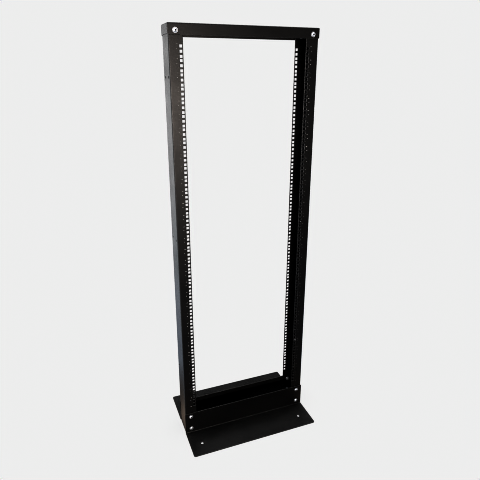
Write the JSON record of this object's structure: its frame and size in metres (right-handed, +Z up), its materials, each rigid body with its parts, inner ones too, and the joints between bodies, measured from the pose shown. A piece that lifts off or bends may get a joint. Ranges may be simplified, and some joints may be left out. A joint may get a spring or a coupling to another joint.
{
  "type": "two-post open relay rack",
  "caption": "Open two-post rack for 19-inch equipment: square-holed channel posts, a folded top cap and L-shaped base angles that anchor to the floor.",
  "frame": {"origin": "on the floor, halfway between the posts and at the middle of their depth, which is the centre of the floor anchor pattern", "axes": "+X to the rack's right seen from the front, +Y towards its back, +Z up"},
  "size_m": [0.551, 0.385, 1.618],
  "materials": {
    "black_powder_coat": "fine-textured black powder coat on steel, satin",
    "zinc_plated_steel": "bright zinc plating, slightly cloudy"
  },
  "bodies": {
    "root": {"left_post": "black_powder_coat", "right_post": "black_powder_coat", "top_cap": "black_powder_coat", "front_base_angle": "black_powder_coat", "rear_base_angle": "black_powder_coat", "cap_front_left_bolt": "zinc_plated_steel", "cap_front_left_washer": "zinc_plated_steel", "cap_front_left_flange_nut": "zinc_plated_steel", "cap_front_right_bolt": "zinc_plated_steel", "cap_front_right_washer": "zinc_plated_steel", "cap_front_right_flange_nut": "zinc_plated_steel", "cap_rear_left_bolt": "zinc_plated_steel", "cap_rear_left_washer": "zinc_plated_steel", "cap_rear_left_flange_nut": "zinc_plated_steel", "cap_rear_right_bolt": "zinc_plated_steel", "cap_rear_right_washer": "zinc_plated_steel", "cap_rear_right_flange_nut": "zinc_plated_steel", "base_front_left_bolts": "zinc_plated_steel", "base_front_left_washers": "zinc_plated_steel", "base_front_left_flange_nuts": "zinc_plated_steel", "base_front_right_bolts": "zinc_plated_steel", "base_front_right_washers": "zinc_plated_steel", "base_front_right_flange_nuts": "zinc_plated_steel", "base_rear_left_bolts": "zinc_plated_steel", "base_rear_left_washers": "zinc_plated_steel", "base_rear_left_flange_nuts": "zinc_plated_steel", "base_rear_right_bolts": "zinc_plated_steel", "base_rear_right_washers": "zinc_plated_steel", "base_rear_right_flange_nuts": "zinc_plated_steel"}
  },
  "joints": []
}
